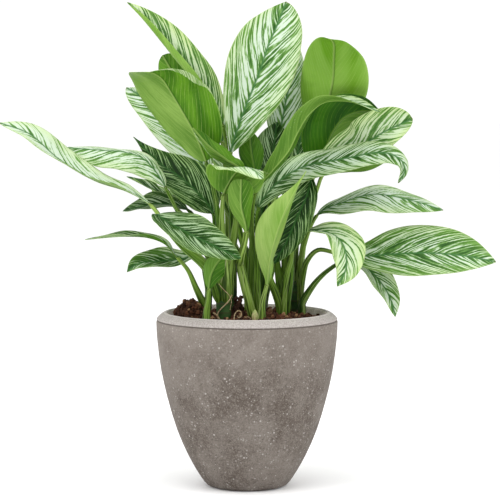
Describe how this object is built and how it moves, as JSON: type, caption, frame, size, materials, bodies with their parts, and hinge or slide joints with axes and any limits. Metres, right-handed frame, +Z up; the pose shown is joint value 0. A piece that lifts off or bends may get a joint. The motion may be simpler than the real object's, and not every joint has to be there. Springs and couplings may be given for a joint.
{
  "type": "potted chinese evergreen",
  "caption": "Chinese evergreen with silver-striped leaves on long stalks, standing in soil in a round tapered concrete-look pot with a chamfered rim.",
  "frame": {"origin": "centre of the pot's flat base, where it rests", "axes": "+Z up along the pot's axis, +X to the viewer's right and -Y towards the viewer, as pictured"},
  "size_m": [0.7118, 0.3823, 0.6998],
  "materials": {
    "pot": "matt grey-brown concrete look, lighter on the rim",
    "soil": "dark crumbly potting soil",
    "cane_1": "green ringed cane",
    "cane_2": "green ringed cane",
    "cane_3": "green ringed cane",
    "cane_4": "green ringed cane",
    "cane_5": "green ringed cane",
    "cane_6": "green ringed cane",
    "cane_7": "green ringed cane",
    "cane_8": "green ringed cane",
    "leaf_01": "soft sheen, silver-striped green above, plain green below",
    "leaf_02": "soft sheen, silver-striped green above, plain green below",
    "leaf_03": "soft sheen, silver-striped green above, plain green below",
    "leaf_04": "soft sheen, silver-striped green above, plain green below",
    "leaf_05": "soft sheen, silver-striped green above, plain green below",
    "leaf_06": "soft sheen, silver-striped green above, plain green below",
    "leaf_07": "soft sheen, silver-striped green above, plain green below",
    "leaf_08": "soft sheen, silver-striped green above, plain green below",
    "leaf_09": "soft sheen, silver-striped green above, plain green below",
    "leaf_10": "soft sheen, silver-striped green above, plain green below",
    "leaf_11": "soft sheen, silver-striped green above, plain green below",
    "leaf_12": "soft sheen, silver-striped green above, plain green below",
    "leaf_13": "soft sheen, silver-striped green above, plain green below",
    "leaf_14": "soft sheen, silver-striped green above, plain green below",
    "leaf_15": "soft sheen, silver-striped green above, plain green below",
    "leaf_16": "soft sheen, silver-striped green above, plain green below",
    "leaf_17": "soft sheen, silver-striped green above, plain green below",
    "leaf_18": "soft sheen, silver-striped green above, plain green below",
    "leaf_19": "soft sheen, silver-striped green above, plain green below",
    "leaf_20": "soft sheen, silver-striped green above, plain green below",
    "leaf_21": "soft sheen, silver-striped green above, plain green below",
    "leaf_22": "soft sheen, silver-striped green above, plain green below",
    "leaf_23": "soft sheen, silver-striped green above, plain green below",
    "leaf_24": "soft sheen, silver-striped green above, plain green below",
    "leaf_25": "soft sheen, silver-striped green above, plain green below",
    "leaf_26": "soft sheen, silver-striped green above, plain green below",
    "leaf_27": "soft sheen, silver-striped green above, plain green below",
    "leaf_28": "soft sheen, silver-striped green above, plain green below",
    "leaf_29": "soft sheen, silver-striped green above, plain green below",
    "leaf_30": "soft sheen, silver-striped green above, plain green below",
    "leaf_31": "soft sheen, silver-striped green above, plain green below",
    "leaf_32": "soft sheen, silver-striped green above, plain green below",
    "leaf_33": "soft sheen, silver-striped green above, plain green below",
    "leaf_34": "soft sheen, silver-striped green above, plain green below",
    "leaf_35": "soft sheen, silver-striped green above, plain green below",
    "leaf_36": "soft sheen, silver-striped green above, plain green below",
    "leaf_37": "soft sheen, silver-striped green above, plain green below",
    "leaf_38": "soft sheen, silver-striped green above, plain green below"
  },
  "bodies": {
    "root": {"pot": "pot", "soil": "soil", "cane_1": "cane_1", "cane_2": "cane_2", "cane_3": "cane_3", "cane_4": "cane_4", "cane_5": "cane_5", "cane_6": "cane_6", "cane_7": "cane_7", "cane_8": "cane_8", "leaf_01": "leaf_01", "leaf_02": "leaf_02", "leaf_03": "leaf_03", "leaf_04": "leaf_04", "leaf_05": "leaf_05", "leaf_06": "leaf_06", "leaf_07": "leaf_07", "leaf_08": "leaf_08", "leaf_09": "leaf_09", "leaf_10": "leaf_10", "leaf_11": "leaf_11", "leaf_12": "leaf_12", "leaf_13": "leaf_13", "leaf_14": "leaf_14", "leaf_15": "leaf_15", "leaf_16": "leaf_16", "leaf_17": "leaf_17", "leaf_18": "leaf_18", "leaf_19": "leaf_19", "leaf_20": "leaf_20", "leaf_21": "leaf_21", "leaf_22": "leaf_22", "leaf_23": "leaf_23", "leaf_24": "leaf_24", "leaf_25": "leaf_25", "leaf_26": "leaf_26", "leaf_27": "leaf_27", "leaf_28": "leaf_28", "leaf_29": "leaf_29", "leaf_30": "leaf_30", "leaf_31": "leaf_31", "leaf_32": "leaf_32", "leaf_33": "leaf_33", "leaf_34": "leaf_34", "leaf_35": "leaf_35", "leaf_36": "leaf_36", "leaf_37": "leaf_37", "leaf_38": "leaf_38"}
  },
  "joints": []
}
